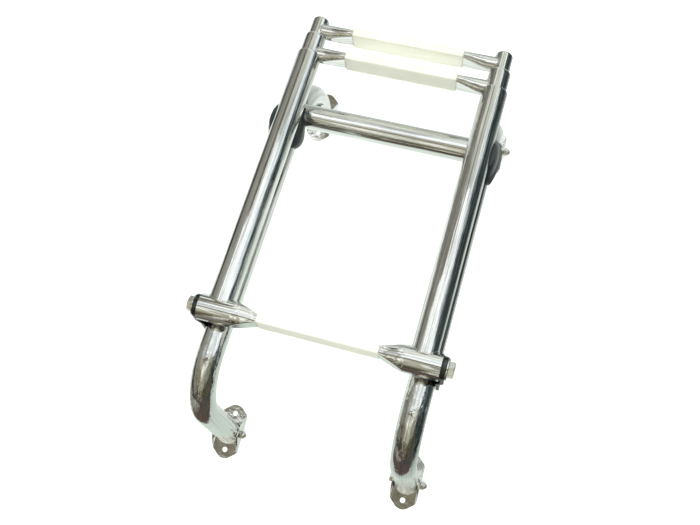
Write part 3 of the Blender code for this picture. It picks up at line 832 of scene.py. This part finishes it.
def channel_profile():
    """Folded channel in the XZ plane with a real bend radius at each fold."""
    half, sheet, top = BRACKET_HALF, BRACKET_SHEET, BRACKET_TOP
    outer_x, inner_x = half - FOLD_OUTER, half - sheet - FOLD_INNER
    inner_z = sheet + FOLD_INNER
    points = [Vector((-half + sheet, 0, top)), Vector((-half, 0, top))]
    points += fold_arc(-outer_x, FOLD_OUTER, FOLD_OUTER, 180.0, 90.0)
    points += fold_arc(outer_x, FOLD_OUTER, FOLD_OUTER, 270.0, 90.0)
    points += [Vector((half, 0, top)), Vector((half - sheet, 0, top))]
    points += fold_arc(inner_x, inner_z, FOLD_INNER, 360.0, -90.0)
    points += fold_arc(-inner_x, inner_z, FOLD_INNER, 270.0, -90.0)
    return points


def bracket_plan(z):
    """Outline of the bracket seen from above: a bar with tapered, rounded ends."""
    wide, narrow = BRACKET_HALF + 0.00001, BRACKET_TIP_HALF
    flank, tip = BRACKET_FLANK, BRACKET_TIP
    right = ((wide, -flank), (wide, flank), (narrow, tip))
    left = ((-narrow, tip), (-wide, flank), (-wide, -flank), (-narrow, -tip))
    corners = (*right, *left, (narrow, -tip))
    return round_corners([Vector((x, y, z)) for x, y in corners], 0.0045)


def bracket_side(x):
    """Outline of the bracket seen from its side: a flat foot and a round ear."""
    low, past = -0.01, 0.041
    foot = ((past, low), (past, 0.0024), (0.0250, 0.0024), (0.0235, 0.0050))
    outline = [Vector((x, -past, low))] + [Vector((x, y, z)) for y, z in foot]
    first, sweep = 38.0, 104.0
    for t in shares(20):
        a = radians(first + sweep * t)
        z = BRACKET_BOLT_Z + BRACKET_EAR_R * sin(a)
        outline.append(Vector((x, BRACKET_EAR_R * cos(a), z)))
    outline += [Vector((x, -y, z)) for y, z in reversed(foot[1:])]
    return outline


def make_bracket(label):
    """Folded channel bracket with two eared sides and screw holes."""
    low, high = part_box("bracket_" + label)
    at = Matrix.Translation(((low.x + high.x) / 2, (low.y + high.y) / 2, 0.0))
    profile = [p - Y_AXIS * (0.5 * BRACKET_LENGTH) for p in channel_profile()]
    obj = new_object("bracket_folded_" + label, slab(profile, Y_AXIS, BRACKET_LENGTH), at, 35.0)
    carve(obj, slab(bracket_plan(-0.01), Z_AXIS, 0.05), at, "INTERSECT")
    carve(obj, slab(bracket_side(-0.03), X_AXIS, 0.06), at, "INTERSECT")
    bolt_at = Vector((-0.03, 0.0, BRACKET_BOLT_Z))
    carve(obj, cylinder(bolt_at, X_AXIS, 0.06, BRACKET_BOLT_R, 40), at)
    sunk = BRACKET_HOLE_R + BRACKET_HOLE_SINK
    screw = [(0.0, BRACKET_HOLE_R), (0.0115, BRACKET_HOLE_R), (0.0140, sunk)]
    for y in (-BRACKET_HOLE_Y, BRACKET_HOLE_Y):
        carve(obj, turned(screw, Vector((0.0, y, -0.010)), Z_AXIS, 48), at)
    place(obj, "polished_plain", "base", "bracket_" + label)
    bevel(obj, 0.00025, 2, 40.0)


def bevel(obj, width, segments=3, angle=35.0):
    """Rounded edges, as a modifier."""
    mod = obj.modifiers.new("edge", "BEVEL")
    mod.width = width
    mod.segments = segments
    mod.limit_method = "ANGLE"
    mod.angle_limit = radians(angle)
    mod.harden_normals = True
    for poly in obj.data.polygons:
        poly.use_smooth = True


def dress(name, look, width=0.0):
    """Look of a CAD node that stays, with softer edges if width is given."""
    obj = nodes[name]
    paint(obj, look)
    if width:
        bevel(obj, width)


def lug_weld(label, side):
    """Bead along the foot of a pivot lug."""
    x, half, z = side * 0.1432, 0.0118, -0.0500
    path = [Vector((x, half * (2.0 * t - 1.0), z)) for t in shares(59)]
    bead("lug_weld_" + label, path, 0.0012, "base", 20, False)


# ------------------------------------------------------------------- studio
STEEL = 0.80


def seen(red, green, blue):
    """Light whose reflection in the steel shows as this screen colour."""
    linear = [((c / 255.0 + 0.055) / 1.055) ** 2.4 for c in (red, green, blue)]
    return tuple(c / STEEL for c in linear)


def seen_stops(stops):
    """Colour ramp stops from (position, red, green, blue) of the screen."""
    return [(at, seen(*colour)) for at, *colour in stops]


CAMERA_AT = (0.204879, -0.237085, 1.2361)
CAMERA_RIGHT = Vector((0.956305, 0.263419, -0.126852))
CAMERA_UP = Vector((-0.229083, 0.944684, 0.234719))
CAMERA_LENS, CAMERA_SENSOR = 46.57, 36.0


def make_camera():
    cam = bpy.data.objects.new("camera", bpy.data.cameras.new("camera"))
    bpy.context.scene.collection.objects.link(cam)
    back = CAMERA_RIGHT.cross(CAMERA_UP)
    turn = Matrix((CAMERA_RIGHT, CAMERA_UP, back)).transposed().to_4x4()
    cam.matrix_world = Matrix.Translation(CAMERA_AT) @ turn
    cam.data.lens = CAMERA_LENS
    cam.data.sensor_width = CAMERA_SENSOR
    cam.data.clip_end = 50.0
    bpy.context.scene.camera = cam


def make_floor():
    """White floor that the camera and the diffuse light see."""
    half, sunk = 6.0, 0.0008
    bm = bmesh.new()
    bmesh.ops.create_grid(bm, x_segments=8, y_segments=8, size=half)
    floor = new_object("floor", bm, Matrix.Translation((0.0, 0.0, -sunk)))
    tree, shader = start_material("floor_paper")
    tone = ramp(tree, noise(tree, object_coords(tree), 6.0), ((0.3, 0.90), (0.7, 0.92)))
    glow = {"Emission Color": (1.0, 1.0, 1.0, 1.0), "Emission Strength": 0.35}
    feed(tree, shader, {"Base Color": tone, "Roughness": 0.9, **glow})
    floor.data.materials.append(materials["floor_paper"])
    floor.visible_glossy = False


def glow_card(name, corners, build_colour, strength=1.0):
    """Sheet that only reflections see; build_colour makes its colour socket."""
    bm = bmesh.new()
    bm.faces.new([bm.verts.new(Vector(c)) for c in corners])
    obj = new_object(name, bm, Matrix.Identity(4))
    mat = bpy.data.materials.new(name)
    mat.use_nodes = True
    tree = mat.node_tree
    tree.nodes.clear()
    glow = node(tree, "ShaderNodeEmission", {"Color": build_colour(tree), "Strength": strength})
    node(tree, "ShaderNodeOutputMaterial", {"Surface": glow.outputs[0]})
    obj.data.materials.append(mat)
    obj.visible_camera = False
    obj.visible_diffuse = False
    obj.visible_shadow = False


def level_card(name, xs, ys, height, build_colour, strength=1.0):
    """Horizontal card from xs[0] to xs[1] and ys[0] to ys[1]."""
    (left, right), (front, back) = xs, ys
    plan = ((left, front), (right, front), (right, back), (left, back))
    glow_card(name, [(x, y, height) for x, y in plan], build_colour, strength)


def side_card(name, xs, ys, zs, build_colour):
    """Card along Y that leans from xs[0] at its foot to xs[1] at its top."""
    (foot, top), (front, back), (low, high) = xs, ys, zs
    corners = ((foot, front, low), (foot, back, low), (top, back, high), (top, front, high))
    glow_card(name, corners, build_colour)


def mottled(scale, stretch, detail, rough, stops):
    """Colour maker: screen colours spread by a stretched noise."""
    def build_colour(tree):
        shade = noise(tree, object_coords(tree), scale, stretch, detail, rough)
        return ramp(tree, shade, seen_stops(stops))
    return build_colour


lamp_colour = mottled(7.0, (0.4, 3.2, 3.0), 4.0, 0.65, (
    (0.36, 168, 168, 156), (0.43, 222, 222, 212), (0.50, 247, 248, 243), (0.62, 254, 254, 250)))
pane_colour = mottled(11.0, (2.6, 0.12, 1.0), 4.0, 0.7, (
    (0.36, 96, 102, 100), (0.44, 196, 202, 200), (0.51, 246, 250, 252), (0.62, 255, 255, 255)))
slit_colour = mottled(11.0, EVEN, 4.0, 0.7, (
    (0.42, 96, 92, 76), (0.50, 180, 176, 158), (0.56, 250, 250, 244)))
slate_colour = mottled(6.0, (1.0, 0.3, 4.0), 4.0, 0.6, (
    (0.35, 24, 28, 28), (0.50, 44, 50, 50), (0.58, 74, 84, 86), (0.68, 150, 162, 164)))
louvre_colour = mottled(22.0, (1.0, 0.05, 1.0), 4.0, 0.7, (
    (0.36, 62, 60, 54), (0.43, 104, 99, 90), (0.55, 124, 119, 109), (0.64, 214, 216, 208)))
hood_colour = mottled(5.0, EVEN, 3.0, 0.5, ((0.3, 104, 99, 84), (0.7, 128, 122, 104)))


def paper_colour(tree):
    """Glowing card for the pale paper under the ladder; its glow dims toward the back as painted shade, and
    it is greyer at its right.
    """
    coords = object_coords(tree)
    places = axes_of(tree, coords)
    # painted shade: the paper's glow falls off toward its back, where less light reaches it
    along = ramp(tree, span(tree, places["Y"], -0.45, 0.75), seen_stops((
        (0.0, 196, 208, 198), (0.22, 222, 232, 224), (0.5, 242, 248, 243),
        (0.62, 230, 237, 234), (0.74, 200, 208, 204), (1.0, 184, 192, 190))))
    across = ramp(tree, span(tree, places["X"], -0.2, 0.4), ((0.0, 1.0), (0.6, 0.86), (1.0, 0.55)))
    mottle = ramp(tree, noise(tree, coords, 9.0, detail=5.0), ((0.3, 0.86), (0.7, 1.06)))
    return multiply(tree, multiply(tree, along, across), mottle)


def ground_colour(tree):
    """Room floor beyond the paper: grey at left, brown in front, slate at right."""
    coords = object_coords(tree)
    sides = ramp(tree, span(tree, axes_of(tree, coords)["X"], -0.9, 0.7), seen_stops((
        (0.0, 150, 152, 146), (0.22, 132, 128, 118), (0.36, 88, 78, 72),
        (0.70, 84, 74, 70), (0.86, 84, 76, 70), (1.0, 66, 72, 72))))
    streaks = noise(tree, coords, 16.0, (1.0, 0.35, 1.0), 5.0, 0.65)
    depth = ramp(tree, streaks, ((0.34, 0.45), (0.46, 0.95), (0.60, 1.05), (0.70, 1.7)))
    return multiply(tree, sides, depth)


def tan_colour(tree):
    """Left screen: dark at its foot, tan above, crossed by long streaks."""
    coords = object_coords(tree)
    tall = ramp(tree, span(tree, axes_of(tree, coords)["Z"], *LEFT_SCREEN_Z), seen_stops((
        (0.0, 46, 52, 50), (0.30, 66, 70, 66), (0.42, 112, 108, 102),
        (0.70, 134, 129, 124), (1.0, 142, 137, 133))))
    streaks = noise(tree, coords, 9.0, (1.0, 0.25, 5.0), 4.0, 0.65)
    shade = ramp(tree, streaks, ((0.38, 0.35), (0.47, 0.9), (0.54, 1.05), (0.64, 1.9)))
    return multiply(tree, tall, shade)


GROUND_HALF, GROUND_Z, PAPER_Z = 7.0, -0.0030, -0.0020
PAPER_PLAN = ((-0.60, -0.310), (-0.126, -0.342), (0.126, -0.412), (0.38, -0.430), (0.42, 1.3), (-0.66, 1.3))
LAMP_Y, LAMP_Z = (-0.90, -0.46), 1.12
PANE_Z, HOOD_Z, LOUVRE_Z = 1.40, 1.60, 0.76
LEFT_SCREEN_Z = (0.08, 0.36)
SLIT_Y, SLIT_FOOT = -1.5, 0.30
# name, left and right edges
FRONT_LAMPS = (
    ("wide", -0.37, -0.22), ("mid", -0.185, -0.150), ("near", -0.115, -0.050),
    ("thin_a", -0.50, -0.455), ("thin_b", 0.035, 0.065), ("thin_c", 0.11, 0.125))
# name, left edge, width, top
SLITS = (
    ("a", -0.58, 0.045, 2.6), ("b", -0.40, 0.025, 2.5), ("c", -0.12, 0.030, 2.5),
    ("d", 0.03, 0.045, 2.6), ("e", 0.19, 0.02, 2.5))


def make_surroundings():
    """Near sheets that the polish mirrors: floor, paper, lamps and screens."""
    edges = (-GROUND_HALF, GROUND_HALF)
    level_card("room_ground", edges, edges, GROUND_Z, ground_colour)
    glow_card("room_paper", [(x, y, PAPER_Z) for x, y in PAPER_PLAN], paper_colour)
    for name, left, right in FRONT_LAMPS:
        level_card("room_lamp_front_" + name, (left, right), LAMP_Y, LAMP_Z, lamp_colour, 1.1)
    level_card("room_lamp_back", (-0.16, 0.74), (0.42, 0.92), PANE_Z, pane_colour, 1.3)
    level_card("room_lamp_left", (-0.62, -0.17), (0.36, 0.66), PANE_Z, pane_colour, 1.2)
    for name, x, width, top in SLITS:
        outline = ((x, SLIT_FOOT), (x + width, SLIT_FOOT), (x + width, top), (x, top))
        glow_card("room_slit_" + name, [(px, SLIT_Y, pz) for px, pz in outline], slit_colour, 1.1)
    side_card("room_screen_right", (0.38, 0.42), (-0.36, 1.2), (PAPER_Z, 0.45), slate_colour)
    side_card("room_screen_left", (-0.50, -0.47), (-0.7, 1.2), LEFT_SCREEN_Z, tan_colour)
    level_card("room_louvre_left", (-0.62, -0.37), (0.20, 1.2), LOUVRE_Z, louvre_colour)
    level_card("room_hood_front", (-0.95, 0.32), (-0.40, -0.18), HOOD_Z, hood_colour)
    level_card("room_hood_back", (-0.98, -0.43), (0.76, 1.06), HOOD_Z, hood_colour)


# Screen colours of the room by height angle, seen in each compass direction.
WALLS = {
    "left": (
        (-4, 70, 72, 64), (2, 106, 106, 96), (16, 98, 98, 92), (26, 128, 128, 120), (36, 146, 147, 140),
        (46, 164, 166, 160), (56, 184, 187, 184), (66, 216, 220, 220), (74, 240, 244, 246)),
    "behind": (
        (-4, 174, 182, 178), (4, 196, 204, 200), (22, 222, 226, 220), (36, 242, 244, 240),
        (45, 204, 206, 196), (51, 176, 178, 168), (57, 206, 212, 208), (61, 250, 252, 254),
        (68, 232, 238, 240), (78, 238, 242, 240)),
    "right": (
        (-4, 70, 84, 88), (3, 84, 98, 104), (5, 196, 210, 214), (7, 90, 104, 108), (14, 118, 132, 136),
        (22, 176, 188, 194), (32, 228, 238, 244), (45, 242, 248, 252), (56, 216, 220, 218),
        (70, 236, 240, 240)),
    "right_front": (
        (-4, 80, 72, 62), (10, 84, 80, 64), (20, 56, 60, 50), (28, 96, 94, 78), (38, 104, 104, 88),
        (45, 152, 154, 138), (51, 114, 116, 100), (62, 190, 192, 180), (74, 236, 238, 230),
        (84, 150, 150, 140)),
    "front": (
        (-4, 84, 74, 68), (11, 72, 64, 56), (17, 104, 98, 82), (22, 78, 72, 58), (32, 126, 126, 106),
        (40, 160, 160, 142), (50, 166, 164, 146), (60, 176, 174, 158), (70, 190, 190, 176),
        (80, 176, 175, 162)),
    "front_left": (
        (-4, 82, 74, 66), (10, 60, 58, 48), (20, 70, 70, 56), (30, 116, 112, 94), (42, 150, 142, 122),
        (54, 166, 160, 144), (66, 222, 224, 216), (80, 150, 148, 136)),
}
# Each wall takes over from the one before it between two turn angles.
WALL_TURNS = (
    ("front_left", -158.0, -142.0), ("left", -112.0, -92.0), ("behind", -50.0, -22.0),
    ("right", 18.0, 46.0), ("right_front", 74.0, 92.0), ("front", 142.0, 160.0))
# Noise that darkens and lightens the walls: scale, stretch, detail, rough, stops.
WALL_NOISES = (
    (7.0, EVEN, 4.0, 0.65, ((0.38, 0.72), (0.48, 1.0), (0.62, 1.18))),
    (24.0, EVEN, 3.0, 0.6, ((0.38, 0.68), (0.47, 1.0), (0.62, 1.16))),
    (15.0, (1.0, 0.10, 1.0), 4.0, 0.65, ((0.38, 0.58), (0.46, 0.92), (0.54, 1.06), (0.63, 1.34))))


def make_world():
    """Room seen in the polish; the camera itself sees plain white."""
    world = bpy.data.worlds.new("studio")
    bpy.context.scene.world = world
    world.use_nodes = True
    tree = world.node_tree
    tree.nodes.clear()
    direction = node(tree, "ShaderNodeTexCoord").outputs["Generated"]
    parts = axes_of(tree, direction)
    rise = calc(tree, "MULTIPLY_ADD", calc(tree, "ARCSINE", parts["Z"]), 1.0 / pi, 0.5)
    turn = calc(tree, "MULTIPLY_ADD", calc(tree, "ARCTAN2", parts["X"], parts["Y"]), 0.5 / pi, 0.5)

    def wall(name):
        stops = [(0.5 + height / 180.0, *colour) for height, *colour in WALLS[name]]
        return ramp(tree, rise, seen_stops(stops))

    colour = wall("front")
    for name, start, end in WALL_TURNS:
        toward = span(tree, turn, 0.5 + start / 360.0, 0.5 + end / 360.0)
        colour = blend(tree, "MIX", toward, colour, wall(name))
    for scale, stretch, detail, rough, stops in WALL_NOISES:
        shade = ramp(tree, noise(tree, direction, scale, stretch, detail, rough), stops)
        colour = multiply(tree, colour, shade)
    room = node(tree, "ShaderNodeBackground", {"Color": colour}).outputs[0]
    plain = node(tree, "ShaderNodeBackground", {"Color": (0.93, 0.94, 0.95, 1.0)}).outputs[0]
    direct = node(tree, "ShaderNodeLightPath").outputs["Is Camera Ray"]
    both = node(tree, "ShaderNodeMixShader", {0: direct, 1: room, 2: plain}).outputs[0]
    node(tree, "ShaderNodeOutputWorld", {"Surface": both})


def area_light(name, centre, size, power):
    """Square soft lamp for the plastics; the polish does not mirror it."""
    data = bpy.data.lights.new(name, "AREA")
    data.shape = "RECTANGLE"
    data.size = data.size_y = size
    data.energy = power
    obj = bpy.data.objects.new(name, data)
    obj.location = centre
    aim = Vector((0.0, 0.0, 0.1))
    obj.rotation_euler = (aim - Vector(centre)).to_track_quat("-Z", "Y").to_euler()
    bpy.context.scene.collection.objects.link(obj)
    obj.visible_glossy = False


def make_lights():
    area_light("key", (0.3, -0.6, 2.1), 1.6, 34.0)
    area_light("fill", (-1.2, 0.8, 1.6), 1.4, 10.0)


# --------------------------------------------------------------------- build
def make_side(label, side):
    """Pieces on one side of the ladder."""
    make_base_tube(label, side)
    make_outer_tube(label, side)
    for stage, radius, bore, start, end in SLIDING:
        make_sliding_tube(stage, label, side, radius, bore, start, end)
    make_cap(label, side)
    make_pivot_bolt(label, side)
    lug_weld(label, side)
    for level in ("lower", "upper"):
        make_bracket_bolt(level + "_" + label)
        make_bracket(level + "_" + label)
    dress("pivot_lug_" + label, "coated", 0.0009)
    make_clip(label, side)
    dress("pivot_washer_" + label, "fastener")
    dress("pivot_spacer_" + label, "black")
    dress("pivot_insert_" + label, "fastener")
    for stem in ("outer_glide_", "middle_glide_", "middle_guide_", "inner_guide_"):
        dress(stem + label, "nylon")


def build():
    make_materials()
    for label, side in SIDES:
        make_side(label, side)
    make_cross_bar()
    for step in STEPS:
        make_step_tube(*step)
    for step in STEPS:
        make_tread(*step[:3])
    for stage, y, tube_r in (("middle", STEP_A_Y, MIDDLE_R), ("inner", STEP_B_Y, INNER_R)):
        arm_welds(stage, y, tube_r)


build()
make_camera()
make_floor()
make_surroundings()
make_world()
make_lights()
bpy.context.scene.view_settings.view_transform = "Standard"
